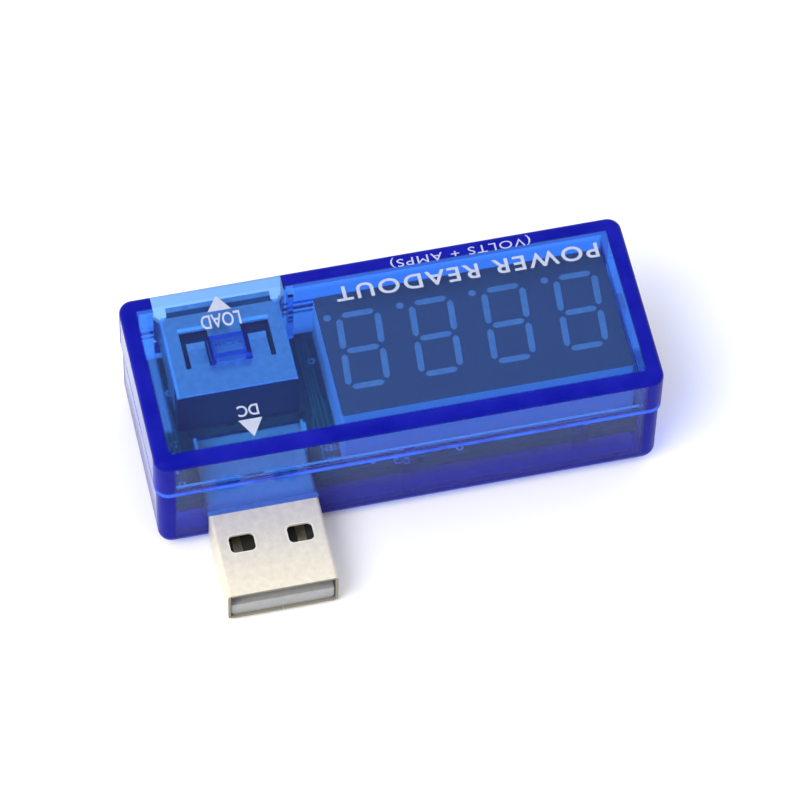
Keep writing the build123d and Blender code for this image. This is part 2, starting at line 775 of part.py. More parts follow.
def make_nodes():
    shunt_body, shunt_caps = make_shunt_parts()
    capacitors = capacitor_parts()
    resistors = resistor_parts()
    return {
        "top_cover": make_top_cover(),
        "bottom_cover": make_bottom_cover(),
        "circuit_board": make_circuit_board(),
        "plug_shell": make_plug_shell(),
        "plug_insulator": make_plug_insulator(),
        "plug_contacts": make_plug_contacts(),
        "socket_shell": make_socket_shell(),
        "socket_insulator": make_socket_insulator(),
        "socket_contact_springs": make_contact_springs(),
        "socket_tails": make_socket_tails(),
        "display_housing": make_display_housing(),
        "display_segments": make_display_segments(guide_bottom, guide_top),
        "display_dots": make_display_dots(guide_bottom, guide_top),
        "display_substrate": make_display_substrate(),
        "led_chips": make_led_chips(),
        "display_pins": make_display_pins(),
        "microcontroller": make_microcontroller(),
        "microcontroller_leads": make_microcontroller_leads(),
        "op_amp": make_op_amp(),
        "op_amp_leads": make_op_amp_leads(),
        "voltage_regulator": make_regulator(),
        "voltage_regulator_leads": make_regulator_leads(),
        "current_shunt": shunt_body,
        "current_shunt_terminals": shunt_caps,
        "ceramic_capacitors": [body for body, caps in capacitors],
        "capacitor_terminals": [cap for body, caps in capacitors for cap in caps],
        "chip_resistors": [body for body, caps in resistors],
        "resistor_terminals": [cap for body, caps in resistors for cap in caps],
        "solder_joints": make_solder_joints(),
    }


os.makedirs("parts", exist_ok=True)
for name, shape in make_nodes().items():
    solids = shape if isinstance(shape, list) else [shape]
    group = Compound(children=[solid for item in solids for solid in item.solids()])
    export_step(group, f"parts/{name}.step")
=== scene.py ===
import json
import math

import bmesh
import bpy
from mathutils import Matrix, Vector


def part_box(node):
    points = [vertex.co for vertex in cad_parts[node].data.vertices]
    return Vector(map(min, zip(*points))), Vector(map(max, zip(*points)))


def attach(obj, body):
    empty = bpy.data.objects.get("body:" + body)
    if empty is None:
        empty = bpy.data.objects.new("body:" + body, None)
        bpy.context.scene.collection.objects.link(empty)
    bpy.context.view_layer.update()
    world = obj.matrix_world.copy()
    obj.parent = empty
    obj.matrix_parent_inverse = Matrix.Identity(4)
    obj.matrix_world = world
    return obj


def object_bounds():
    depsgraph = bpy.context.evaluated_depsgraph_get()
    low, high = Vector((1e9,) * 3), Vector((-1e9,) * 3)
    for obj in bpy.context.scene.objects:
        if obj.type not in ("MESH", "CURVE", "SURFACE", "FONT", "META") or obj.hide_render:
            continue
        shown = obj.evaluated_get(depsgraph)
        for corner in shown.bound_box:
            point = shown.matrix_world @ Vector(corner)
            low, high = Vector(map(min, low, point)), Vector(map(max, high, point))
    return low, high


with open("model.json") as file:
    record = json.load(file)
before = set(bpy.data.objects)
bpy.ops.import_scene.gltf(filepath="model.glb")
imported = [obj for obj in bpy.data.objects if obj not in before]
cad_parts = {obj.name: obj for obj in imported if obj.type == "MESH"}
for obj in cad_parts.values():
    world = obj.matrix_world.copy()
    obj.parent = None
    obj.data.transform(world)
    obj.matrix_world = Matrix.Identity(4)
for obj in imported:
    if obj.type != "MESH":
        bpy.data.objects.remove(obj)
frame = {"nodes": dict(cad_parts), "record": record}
cad_low, cad_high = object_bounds()

MM = 0.001
BODY = "meter"
PRINT_THICKNESS = 0.02 * MM
TRACK_THICKNESS = 0.035 * MM

# ---- Places on the parts ----
case_low, case_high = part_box("top_cover")
case_low = Vector((case_low.x, case_low.y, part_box("bottom_cover")[0].z))
face_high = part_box("display_housing")[1]
socket_low, socket_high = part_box("socket_shell")
plug_low, plug_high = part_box("plug_shell")
board_low, board_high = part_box("circuit_board")
centre = (case_low + case_high) / 2
half_size = (case_high - case_low) / 2
opening_x = (socket_low.x + socket_high.x) / 2
plug_x = (plug_low.x + plug_high.x) / 2

SEAM_Z = 10.5 * MM                       # where the covers meet
ROOF_UNDERSIDE = case_high.z - 1.4 * MM
OPENING_HALF = 7.15 * MM                 # of the covers' cut-out for the socket's mouth
PAD_HALF = 2.2 * MM                      # the hollow pad between the roof and the socket
PAD_FRONT = case_low.y + 13.15 * MM
PAD_BACK = case_low.y + 16.05 * MM
RIB_X = case_low.x + 18.5 * MM           # the rib from the roof to the board's back edge
RIB_Y = case_high.y - 2.45 * MM
RIB_HALVES = (0.35 * MM, 0.5 * MM)
PLATE_TOP = board_high.z + 6.82 * MM     # of the socket shell's top plate
CREASE_Y = case_low.y + 20.1 * MM        # where the plate turns up into its lip
SLOT_END_Y = case_low.y + 18.0 * MM      # the mouth's side of the slots round the sprung fingers
PLUG_HALF_WIDTH = (plug_high.x - plug_low.x) / 2
PLUG_HALF_HEIGHT = 2.25 * MM
PLUG_MIDDLE_Z = plug_low.z + PLUG_HALF_HEIGHT
LATCH_Y = plug_low.y + 6.35 * MM         # the middle of the latch windows
LATCH_OFFSET = 3.18 * MM                 # from the plug's middle to a window's
LATCH_HALVES = (1.375 * MM, 1.1 * MM)
LATCH_CORNER = 0.55 * MM


# ---- Materials ----
class Graph:
    """A new material with a Principled shader, and short calls for the nodes that are added to it."""

    def __init__(self, name):
        self.material = bpy.data.materials.new(name)
        self.material.use_nodes = True
        self.nodes = self.material.node_tree.nodes
        self.links = self.material.node_tree.links
        self.shader = self.nodes["Principled BSDF"]

    def calc(self, operation, first, second=None):
        """A Math node; each operand is an output socket or a number. Returns its output."""
        node = self.nodes.new("ShaderNodeMath")
        node.operation = operation
        for slot, operand in enumerate((first, second)):
            if isinstance(operand, (int, float)):
                node.inputs[slot].default_value = operand
            elif operand is not None:
                self.links.new(operand, node.inputs[slot])
        return node.outputs["Value"]

    def times(self, first, *others):
        """The product of masks, or of masks and a strength."""
        for other in others:
            first = self.calc("MULTIPLY", first, other)
        return first

    def most(self, first, *others):
        """The strongest of several masks."""
        for other in others:
            first = self.calc("MAXIMUM", first, other)
        return first

    def away(self, value, middle):
        """How far a value is from a middle, on either side."""
        return self.calc("ABSOLUTE", self.calc("SUBTRACT", value, middle))

    def step(self, value, start, end):
        """A mask, 0 at start and 1 at end with a smooth turn between; start may lie above end."""
        span = self.nodes.new("ShaderNodeMapRange")
        span.interpolation_type = "SMOOTHSTEP"
        span.inputs["From Min"].default_value = min(start, end)
        span.inputs["From Max"].default_value = max(start, end)
        span.inputs["To Min"].default_value = 0.0 if start < end else 1.0
        span.inputs["To Max"].default_value = 1.0 if start < end else 0.0
        self.links.new(value, span.inputs["Value"])
        return span.outputs["Result"]

    def split(self, vector):
        """The x, y and z of a vector output."""
        parts = self.nodes.new("ShaderNodeSeparateXYZ")
        self.links.new(vector, parts.inputs["Vector"])
        return parts.outputs["X"], parts.outputs["Y"], parts.outputs["Z"]

    def place(self):
        """Where a point is, in metres."""
        return self.split(self.nodes.new("ShaderNodeTexCoord").outputs["Object"])

    def facing(self):
        """The way the surface faces."""
        return self.split(self.nodes.new("ShaderNodeTexCoord").outputs["Normal"])

    def noise(self, scale, detail=4.0):
        """A noise in object space; scale is in waves per metre."""
        place = self.nodes.new("ShaderNodeTexCoord")
        noise = self.nodes.new("ShaderNodeTexNoise")
        noise.inputs["Scale"].default_value = scale
        noise.inputs["Detail"].default_value = detail
        self.links.new(place.outputs["Object"], noise.inputs["Vector"])
        return noise.outputs["Fac"]

    def vary_colour(self, noise, target, dark, light, start=0.3, end=0.7):
        """Drives a colour socket from a noise, between two colours."""
        ramp = self.nodes.new("ShaderNodeValToRGB")
        for element, position, colour in zip(ramp.color_ramp.elements, (start, end), (dark, light)):
            element.position = position
            element.color = (*colour, 1)
        self.links.new(noise, ramp.inputs["Fac"])
        self.links.new(ramp.outputs["Color"], target)

    def vary_value(self, noise, target, low, high, start=0.25, end=0.75):
        """Drives a number socket from a noise, between two values."""
        span = self.nodes.new("ShaderNodeMapRange")
        span.inputs["From Min"].default_value = start
        span.inputs["From Max"].default_value = end
        span.inputs["To Min"].default_value = low
        span.inputs["To Max"].default_value = high
        self.links.new(noise, span.inputs["Value"])
        self.links.new(span.outputs["Result"], target)

    def add_bump(self, noise, strength, distance):
        """Lets a noise raise the surface by up to a distance."""
        bump = self.nodes.new("ShaderNodeBump")
        bump.inputs["Strength"].default_value = strength
        bump.inputs["Distance"].default_value = distance
        self.links.new(noise, bump.inputs["Height"])
        self.links.new(bump.outputs["Normal"], self.shader.inputs["Normal"])

    def blend_colour(self, factor, colour):
        """Blends the shader's base colour towards a colour. Returns the socket for the other colour."""
        blend = self.nodes.new("ShaderNodeMix")
        blend.data_type = "RGBA"
        self.links.new(factor, blend.inputs["Factor"])
        blend.inputs["B"].default_value = (*colour, 1)
        self.links.new(blend.outputs["Result"], self.shader.inputs["Base Color"])
        return blend.inputs["A"]

    def diffuse(self, colour):
        """A Diffuse shader. Returns its output."""
        node = self.nodes.new("ShaderNodeBsdfDiffuse")
        node.inputs["Color"].default_value = (*colour, 1)
        return node.outputs["BSDF"]

    def mix(self, factor, first, second):
        """A Mix Shader; the factor is an output socket or a number. Returns its output."""
        node = self.nodes.new("ShaderNodeMixShader")
        if isinstance(factor, float):
            node.inputs["Fac"].default_value = factor
        else:
            self.links.new(factor, node.inputs["Fac"])
        self.links.new(first, node.inputs[1])
        self.links.new(second, node.inputs[2])
        return node.outputs["Shader"]

    def surfaced(self, shader):
        """Puts a shader output on the surface. Returns the material."""
        self.links.new(shader, self.nodes["Material Output"].inputs["Surface"])
        return self.material


# The case's masks: each pair runs from where the mask is 0 to where it is 1
WALL = (1.85 * MM, 1.6 * MM)                     # in from the nearer outside
CORNER = (2.3 * MM, 1.8 * MM)                    # in from the farther outside
BORDER_OUTER = (1.75 * MM, 1.9 * MM)
BORDER_INNER = (2.9 * MM, 2.4 * MM)
BORDER_FRONT = (case_low.y + 4 * MM, case_low.y + 5 * MM)
ROOF = (case_high.z - 0.8 * MM, case_high.z - 0.6 * MM)
BESIDE_OPENING = (OPENING_HALF, OPENING_HALF + 0.15 * MM)
BEFORE_OPENING = (case_high.y - 4 * MM, case_high.y - 4.5 * MM)
KEEL_Z = (3.0 * MM, 1.9 * MM)                    # the tray's rounded lower edges
KEEL_INSIDE = (2.4 * MM, 2.0 * MM)
TRAY_Z = (7.0 * MM, 4.0 * MM)
BELOW_SEAM = ((SEAM_Z - 0.5 * MM, SEAM_Z - 0.3 * MM), (SEAM_Z + 0.03 * MM, SEAM_Z))
SEAM_EDGE = ((SEAM_Z - 0.02 * MM, SEAM_Z + 0.1 * MM), (SEAM_Z + 0.85 * MM, SEAM_Z + 0.5 * MM))
SEAM_EDGE_INSIDE = (0.5 * MM, 0.4 * MM)
SEAM_STREAKS = (0.2, 0.55)
PAD_LIMITS = {
    "across": (PAD_HALF + 0.15 * MM, PAD_HALF + 0.05 * MM),
    "front": (PAD_FRONT - 0.15 * MM, PAD_FRONT - 0.05 * MM),
    "back": (PAD_BACK + 0.15 * MM, PAD_BACK + 0.05 * MM),
    "foot": (PLATE_TOP - 0.1 * MM, PLATE_TOP),
    "head": (ROOF_UNDERSIDE - 0.02 * MM, ROOF_UNDERSIDE - 0.1 * MM),
}
RIB_BLUR = 0.1 * MM

# How strongly painted depth colour, painted shade or painted light shows at each place
PAINTED_DEPTH_MOST = 0.97
SEAM_SHADE_STRENGTH = 0.8
TRAY_SHADE_STRENGTH = 0.4
PAINTED_DEPTH_PAD = 0.12
PAINTED_DEPTH_BRIDGE = 0.14
LIT_BORDER = 0.4
LIT_OVER_RIB = 0.7
HAZE_SHARE = 0.035

# The plastic itself, its haze, and the painted colours for depth, shade and light
PLASTIC_IOR = 1.49
TINT = (0.0, 0.55, 0.985)
TINT_DENSITY = 950                               # per metre
HAZE_COLOUR = (0.22, 0.24, 0.42)
PAINTED_DEPTH_DARK = (0.003, 0.005, 0.25)
PAINTED_DEPTH_LIGHT = (0.009, 0.011, 0.32)
SEAM_HIGHLIGHT_COLOUR = (0.06, 0.17, 0.98)
PAINTED_LIGHT_COLOUR = (0.06, 0.22, 0.85)


def clear_blue_plastic():
    """Tinted polycarbonate: clear through a wall; dense blue is painted where a wall is seen along its
    depth, with painted shade, highlights and light.
    """
    g = Graph("clear_blue_plastic")
    glass = g.shader
    glass.inputs["Base Color"].default_value = (1, 1, 1, 1)
    glass.inputs["Transmission Weight"].default_value = 1.0
    glass.inputs["IOR"].default_value = PLASTIC_IOR
    glass.inputs["Specular Tint"].default_value = (0.05, 0.1, 0.6, 1)
    g.vary_value(g.noise(scale=900), glass.inputs["Roughness"], 0.03, 0.10)
    g.add_bump(g.noise(scale=420, detail=2), strength=0.08, distance=0.02 * MM)
    tint = g.nodes.new("ShaderNodeVolumeAbsorption")
    tint.inputs["Color"].default_value = (*TINT, 1)
    tint.inputs["Density"].default_value = TINT_DENSITY
    g.links.new(tint.outputs["Volume"], g.nodes["Material Output"].inputs["Volume"])

    # How far a point is in from the outside of the nearer wall, and of the farther one
    x, y, z = g.place()
    inside_ends = g.calc("SUBTRACT", half_size.x, g.away(x, centre.x))
    inside_sides = g.calc("SUBTRACT", half_size.y, g.away(y, centre.y))
    inside = g.calc("MINIMUM", inside_ends, inside_sides)
    outer = g.calc("MAXIMUM", inside_ends, inside_sides)
    across = g.away(x, opening_x)
    above = g.step(z, *ROOF)
    closed = g.most(g.step(across, *BESIDE_OPENING), g.step(y, *BEFORE_OPENING))

    # Painted depth colour over and under a wall, whose whole height lies behind the surface
    over_wall = g.times(g.step(inside, *WALL), above)
    rim = g.times(over_wall, closed)
    corner = g.step(outer, *CORNER)
    keel = g.times(g.step(z, *KEEL_Z), g.step(inside, *KEEL_INSIDE))
    # Painted shade under the seam's step, and painted shade darkening the tray towards the bottom
    shade_below_seam = g.times(*[g.step(z, *limits) for limits in BELOW_SEAM], SEAM_SHADE_STRENGTH)
    tray_shade = g.times(g.step(z, *TRAY_Z), TRAY_SHADE_STRENGTH)
    # Painted depth colour on the pad's upright walls, and on the roof where it bridges the socket's
    # opening
    pad = g.times(g.step(across, *PAD_LIMITS["across"]),
                  g.step(z, *PAD_LIMITS["foot"]), g.step(z, *PAD_LIMITS["head"]),
                  g.step(y, *PAD_LIMITS["front"]), g.step(y, *PAD_LIMITS["back"]), PAINTED_DEPTH_PAD)
    bridge = g.times(over_wall, PAINTED_DEPTH_BRIDGE)
    painted_depth = g.most(rim, corner, shade_below_seam, keel, tray_shade, pad, bridge)

    # The dense blue is painted: it stands in for the light that thick plastic absorbs and scatters
    dense = g.nodes.new("ShaderNodeBsdfPrincipled")
    g.vary_colour(g.noise(scale=260), dense.inputs["Base Color"], PAINTED_DEPTH_DARK, PAINTED_DEPTH_LIGHT)
    dense.inputs["Roughness"].default_value = 0.35
    dense.inputs["Specular IOR Level"].default_value = 0.06
    dense.inputs["Specular Tint"].default_value = (0.3, 0.4, 1.0, 1)
    dense.inputs["IOR"].default_value = PLASTIC_IOR
    misty = g.mix(HAZE_SHARE, glass.outputs["BSDF"], g.diffuse(HAZE_COLOUR))
    body = g.mix(g.times(painted_depth, PAINTED_DEPTH_MOST), misty, dense.outputs["BSDF"])

    # A painted highlight, broken into streaks, along the edge where the covers meet
    seam_highlight = g.times(*[g.step(z, *limits) for limits in SEAM_EDGE], g.step(inside, *SEAM_EDGE_INSIDE),
                      g.step(g.noise(scale=160, detail=3), *SEAM_STREAKS))
    body = g.mix(seam_highlight, body, g.diffuse(SEAM_HIGHLIGHT_COLOUR))

    # Painted light on the roof's border and over the rib, where the light has a way out
    lit_border = g.times(g.step(inside, *BORDER_OUTER), g.step(inside, *BORDER_INNER),
                     g.step(y, *BORDER_FRONT), closed, LIT_BORDER)
    lit_over_rib = g.times(g.step(g.away(x, RIB_X), RIB_HALVES[0] + RIB_BLUR, RIB_HALVES[0]),
                       g.step(g.away(y, RIB_Y), RIB_HALVES[1] + RIB_BLUR, RIB_HALVES[1]), LIT_OVER_RIB)
    body = g.mix(g.times(g.most(lit_border, lit_over_rib), above), body, g.diffuse(PAINTED_LIGHT_COLOUR))

    # Lamps reach what is behind the plastic
    clear = g.nodes.new("ShaderNodeBsdfTransparent")
    path = g.nodes.new("ShaderNodeLightPath")
    return g.surfaced(g.mix(path.outputs["Is Shadow Ray"], body, clear.outputs["BSDF"]))


def plated(name, dark, light, roughness, metallic=1.0, scale=1400):
    """Plated sheet metal with a fine mottled grain. Returns its graph."""
    g = Graph(name)
    g.shader.inputs["Metallic"].default_value = metallic
    grain = g.noise(scale)
    g.vary_colour(grain, g.shader.inputs["Base Color"], dark, light)
    g.vary_value(grain, g.shader.inputs["Roughness"], *roughness)
    g.add_bump(grain, strength=0.15, distance=0.004 * MM)
    return g


def metal(name, dark, light, roughness):
    return plated(name, dark, light, roughness).material


# The socket shell's masks, from where each is 0 to where it is 1
TOP_PLATE = (PLATE_TOP - 0.45 * MM, PLATE_TOP - 0.4 * MM)
SHEET_END = (0.6, 0.8)                           # of the part of the normal along the socket
BEND = ((0.25, 0.5), (0.98, 0.8))                # of the part of the normal across it
BEND_HIGHLIGHT_STRENGTH = 0.6
SLOT_END = ((SLOT_END_Y - 0.08 * MM, SLOT_END_Y), (SLOT_END_Y + 0.5 * MM, SLOT_END_Y + 0.35 * MM))
SLOT_ACROSS = ((1.7 * MM, 1.8 * MM), (5.0 * MM, 4.9 * MM))
LIP_ENDS_ACROSS = (5.9 * MM, 6.0 * MM)
LIP_ENDS = (CREASE_Y - 0.3 * MM, CREASE_Y - 0.2 * MM)
CREASE = ((CREASE_Y - 0.1 * MM, CREASE_Y), (CREASE_Y + 0.55 * MM, CREASE_Y + 0.4 * MM))
CREASE_ACROSS = (5.9 * MM, 5.7 * MM)
PAINTED_EDGE_MOST = 0.85                           # strength of a painted highlight or painted shade at an edge, on the plug too
EDGE_HIGHLIGHT_COLOUR = (0.95, 0.95, 0.95)
CREASE_SHADE = (0.03, 0.03, 0.035)


def socket_metal():
    """Bright plating with painted highlights on its bends, slot ends, lip ends and cut ends (the cut
    ends partly paler bare metal), and painted shade in the crease where the top lip turns up.
    """
    g = plated("socket_nickel", (0.66, 0.58, 0.50), (0.80, 0.70, 0.62), (0.3, 0.4), metallic=0.8)
    x, y, z = g.place()
    facing_x, facing_y = g.facing()[:2]
    across = g.away(x, opening_x)
    sideways = g.calc("ABSOLUTE", facing_x)
    on_top = g.step(z, *TOP_PLATE)
    sheet_end = g.step(g.calc("ABSOLUTE", facing_y), *SHEET_END)
    bend = g.times(*[g.step(sideways, *limits) for limits in BEND], BEND_HIGHLIGHT_STRENGTH)
    slot_end = g.times(*[g.step(y, *limits) for limits in SLOT_END],
                       *[g.step(across, *limits) for limits in SLOT_ACROSS])
    lip_ends = g.times(g.step(across, *LIP_ENDS_ACROSS), g.step(y, *LIP_ENDS))
    # Painted highlights on the top plate's bends, slot ends and lip ends, and on its cut ends, partly
    # paler bare metal
    pale = g.times(g.most(sheet_end, bend, slot_end, lip_ends), on_top, PAINTED_EDGE_MOST)
    body = g.mix(pale, g.shader.outputs["BSDF"], g.diffuse(EDGE_HIGHLIGHT_COLOUR))
    # Painted shade in the crease where the top lip turns up
    crease = g.times(*[g.step(y, *limits) for limits in CREASE], g.step(across, *CREASE_ACROSS),
                     on_top, PAINTED_EDGE_MOST)
    return g.surfaced(g.mix(crease, body, g.diffuse(CREASE_SHADE)))


# The plug shell's masks, from where each is 0 to where it is 1
CUT_FACING = (-0.6, -0.85)
CUT_Y = (plug_low.y + 0.1 * MM, plug_low.y + 0.05 * MM)
MOUTH_SHADE_Y = (plug_low.y + 2.5 * MM, plug_low.y + 0.8 * MM)
INNER_X = (PLUG_HALF_WIDTH - 0.1 * MM, PLUG_HALF_WIDTH - 0.2 * MM)
INNER_Z = (PLUG_HALF_HEIGHT - 0.1 * MM, PLUG_HALF_HEIGHT - 0.2 * MM)
ROLLED_EDGE = (LATCH_CORNER + 0.18 * MM, LATCH_CORNER + 0.02 * MM)
ROLLED_FACING = (0.7, 0.9)
ROLLED_HIGHLIGHT_STRENGTH = 0.5
ROLLED_HIGHLIGHT_COLOUR = (0.98, 0.97, 0.93)
MOUTH_SHADE_COLOUR = (0.16, 0.15, 0.13)


def plug_metal():
    """Warm satin plating, with a painted highlight round the latch windows and painted shade in the
    mouth.
    """
    g = plated("plug_nickel", (0.78, 0.72, 0.56), (0.88, 0.81, 0.65), (0.42, 0.55), metallic=0.45)
    x, y, z = g.place()
    facing_y, facing_z = g.facing()[1:]
    across = g.away(x, plug_x)
    upward = g.calc("ABSOLUTE", facing_z)
    # The sheet's cut edge, bare darker metal with painted shade, and its inner faces, with painted shade
    # from the mouth
    cut_edge = g.times(g.step(facing_y, *CUT_FACING), g.step(y, *CUT_Y))
    inner_faces = g.times(g.step(y, *MOUTH_SHADE_Y), g.step(across, *INNER_X),
                          g.step(g.away(z, PLUG_MIDDLE_Z), *INNER_Z))
    # A painted highlight on the rolled edges of the latch windows, up to a distance from each rounded
    # outline
    squares = []
    for off, half in zip((g.away(across, LATCH_OFFSET), g.away(y, LATCH_Y)), LATCH_HALVES):
        past_corner = g.calc("MAXIMUM", g.calc("SUBTRACT", off, half - LATCH_CORNER), 0.0)
        squares.append(g.calc("POWER", past_corner, 2.0))
    distance = g.calc("SQRT", g.calc("ADD", *squares))
    rolled_highlight = g.times(g.step(distance, *ROLLED_EDGE), g.step(upward, *ROLLED_FACING), ROLLED_HIGHLIGHT_STRENGTH)
    body = g.mix(rolled_highlight, g.shader.outputs["BSDF"], g.diffuse(ROLLED_HIGHLIGHT_COLOUR))
    # Painted shade for the mouth's inner faces and the cut edge
    shade = g.nodes.new("ShaderNodeBsdfPrincipled")
    shade.inputs["Base Color"].default_value = (*MOUTH_SHADE_COLOUR, 1)
    shade.inputs["Metallic"].default_value = 0.5
    shade.inputs["Roughness"].default_value = 0.5
    shaded = g.times(g.most(cut_edge, inner_faces), PAINTED_EDGE_MOST)
    return g.surfaced(g.mix(shaded, body, shade.outputs["BSDF"]))


TONGUE_SHADE_Y = (plug_low.y + 2.5 * MM, plug_low.y + 5.0 * MM)
TONGUE_SHADE = (0.03, 0.03, 0.03)


def plug_insulator_plastic():
    """Grey moulding, pale at the mouth, with painted shade darkening it further in."""
    g = Graph("pale_insulator")
    y = g.place()[1]
    grain = g.noise(scale=1500)
    # Painted shade, darkening the tongue from the mouth inwards
    pale = g.blend_colour(g.step(y, *TONGUE_SHADE_Y), TONGUE_SHADE)
    g.vary_colour(grain, pale, (0.36, 0.36, 0.37), (0.42, 0.42, 0.43))
    g.vary_value(grain, g.shader.inputs["Roughness"], 0.4, 0.55)
    g.add_bump(grain, strength=0.2, distance=0.01 * MM)
    return g.material


PRINT_DEPTH = 0.03 * MM                          # of the display's dark print, down from its face
PRINT_COLOUR = (0.28, 0.12, 0.075)


def display_plastic():
    """Pale housing whose top face is printed dark; the print is told by height."""
    g = Graph("display_plastic")
    grain = g.noise(scale=1800)
    height = g.split(g.nodes.new("ShaderNodeNewGeometry").outputs["Position"])[2]
    printed = g.calc("GREATER_THAN", height, face_high.z - PRINT_DEPTH)
    pale = g.blend_colour(printed, PRINT_COLOUR)
    g.vary_colour(grain, pale, (0.82, 0.68, 0.64), (0.92, 0.79, 0.74), start=0.0, end=1.0)
    g.shader.inputs["Roughness"].default_value = 0.45
    g.add_bump(grain, strength=0.15, distance=0.01 * MM)
    return g.material


def moulded(name, dark, light, roughness, scale=1500, bump=0.2):
    """Opaque plastic, ceramic, epoxy, mask or ink with a fine texture."""
    g = Graph(name)
    grain = g.noise(scale)
    g.vary_colour(grain, g.shader.inputs["Base Color"], dark, light)
    g.vary_value(grain, g.shader.inputs["Roughness"], *roughness)
    g.add_bump(grain, strength=bump, distance=0.01 * MM)
    return g.material


LOOKS = {
    "clear_blue_plastic": clear_blue_plastic(),
    "board_green": moulded("board_green", (0.020, 0.042, 0.012), (0.034, 0.066, 0.018), (0.25, 0.4),
                           scale=700),
    "plug_nickel": plug_metal(),
    "socket_nickel": socket_metal(),
    "pale_insulator": plug_insulator_plastic(),
    "black_insulator": moulded("black_insulator", (0.012, 0.012, 0.014), (0.022, 0.022, 0.025),
                               (0.4, 0.55)),
    "contact_gold": metal("contact_gold", (0.62, 0.58, 0.50), (0.76, 0.72, 0.62), (0.3, 0.42)),
    "display_shell": display_plastic(),
    "display_epoxy": moulded("display_epoxy", (0.56, 0.36, 0.27), (0.68, 0.44, 0.33), (0.3, 0.45)),
    "display_substrate": moulded("display_substrate", (0.45, 0.42, 0.28), (0.58, 0.54, 0.38),
                                 (0.5, 0.7)),
    "led_chip": metal("led_chip", (0.5, 0.4, 0.2), (0.7, 0.55, 0.3), (0.3, 0.4)),
    "tinned_lead": metal("tinned_lead", (0.68, 0.68, 0.66), (0.82, 0.82, 0.80), (0.3, 0.45)),
    "chip_epoxy": moulded("chip_epoxy", (0.012, 0.012, 0.013), (0.028, 0.028, 0.03), (0.5, 0.7),
                          scale=4000),
    "shunt_epoxy": moulded("shunt_epoxy", (0.015, 0.015, 0.016), (0.03, 0.03, 0.032), (0.35, 0.5)),
    "capacitor_ceramic": moulded("capacitor_ceramic", (0.36, 0.24, 0.13), (0.50, 0.36, 0.22),
                                 (0.4, 0.55)),
    "resistor_ceramic": moulded("resistor_ceramic", (0.012, 0.012, 0.014), (0.03, 0.03, 0.033),
                                (0.2, 0.35)),
    "solder": metal("solder", (0.72, 0.72, 0.71), (0.88, 0.88, 0.87), (0.12, 0.25)),
}
slot_of = {part["node"]: part["material_slot"] for part in frame["record"]["subparts"]}
for name, node in frame["nodes"].items():
    node.data.materials.clear()
    node.data.materials.append(LOOKS[slot_of[name]])

INK = moulded("white_ink", (0.34, 0.38, 0.52), (0.42, 0.46, 0.60), (0.5, 0.65), scale=2600, bump=0.1)
SOLDER_MASK = moulded("solder_mask_track", (0.03, 0.12, 0.06), (0.045, 0.17, 0.085), (0.25, 0.35),
                      scale=900)
TIN = LOOKS["tinned_lead"]


# ---- Pieces that lie on the CAD parts ----
def add_piece(name, mesh, material):
    """Puts a mesh in the scene as a piece of the meter."""
    piece = bpy.data.objects.new(name, mesh)
    mesh.name = name
    mesh.materials.clear()
    mesh.materials.append(material)
    bpy.context.scene.collection.objects.link(piece)
    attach(piece, BODY)


def add_built(name, build, material):
    """Turns a bmesh into a piece of the meter, and frees it."""
    mesh = bpy.data.meshes.new(name)
    build.to_mesh(mesh)
    build.free()
    add_piece(name, mesh, material)


def on_case(x, y):
    """A place on the case in metres, from millimetres from its left end and from its front."""
    return case_low.x + x * MM, case_low.y + y * MM


def flat_prism(build, outline, z, thickness):
    """Adds a thin prism to a bmesh; outline is a list of (x, y) in metres, anticlockwise."""
    lower = [build.verts.new((x, y, z)) for x, y in outline]
    upper = [build.verts.new((x, y, z + thickness)) for x, y in outline]
    build.faces.new(upper)
    build.faces.new(lower[::-1])
    for i, vertex in enumerate(lower):
        after = (i + 1) % len(lower)
        build.faces.new((vertex, lower[after], upper[after], upper[i]))


def ribbon(build, path, width, z, thickness, mitre=0.5):
    """Adds a flat track along a path of (x, y) to a bmesh; mitre is the least cosine at a corner."""
    left_side = []
    right_side = []
    for i, point in enumerate(path):
        before = Vector(path[max(i - 1, 0)])
        after = Vector(path[min(i + 1, len(path) - 1)])
        here = Vector(point)
        along_in = (here - before).normalized() if i else (after - here).normalized()
        along_out = (after - here).normalized() if i < len(path) - 1 else along_in
        across = Vector((-(along_in.y + along_out.y), along_in.x + along_out.x)).normalized()
        reach = width / 2 / max(across.dot(Vector((-along_in.y, along_in.x))), mitre)
        left_side.append(tuple(here + across * reach))
        right_side.append(tuple(here - across * reach))
    flat_prism(build, right_side + left_side[::-1], z, thickness)


def annulus(build, x, y, inner, outer, z, thickness, sides=20):
    """Adds a flat ring to a bmesh, as one short trapezium prism for each side."""
    for i in range(sides):
        t0 = 2 * math.pi * i / sides
        t1 = 2 * math.pi * (i + 1) / sides
        corners = [(outer, t0), (outer, t1), (inner, t1), (inner, t0)]
        flat_prism(build, [(x + r * math.cos(t), y + r * math.sin(t)) for r, t in corners], z, thickness)


# ---- Legends on the roof ----
LETTER_HALF_DEPTH = 0.5                  # before the lettering is scaled to the print's thickness
LETTER_CURVE_STEPS = 6


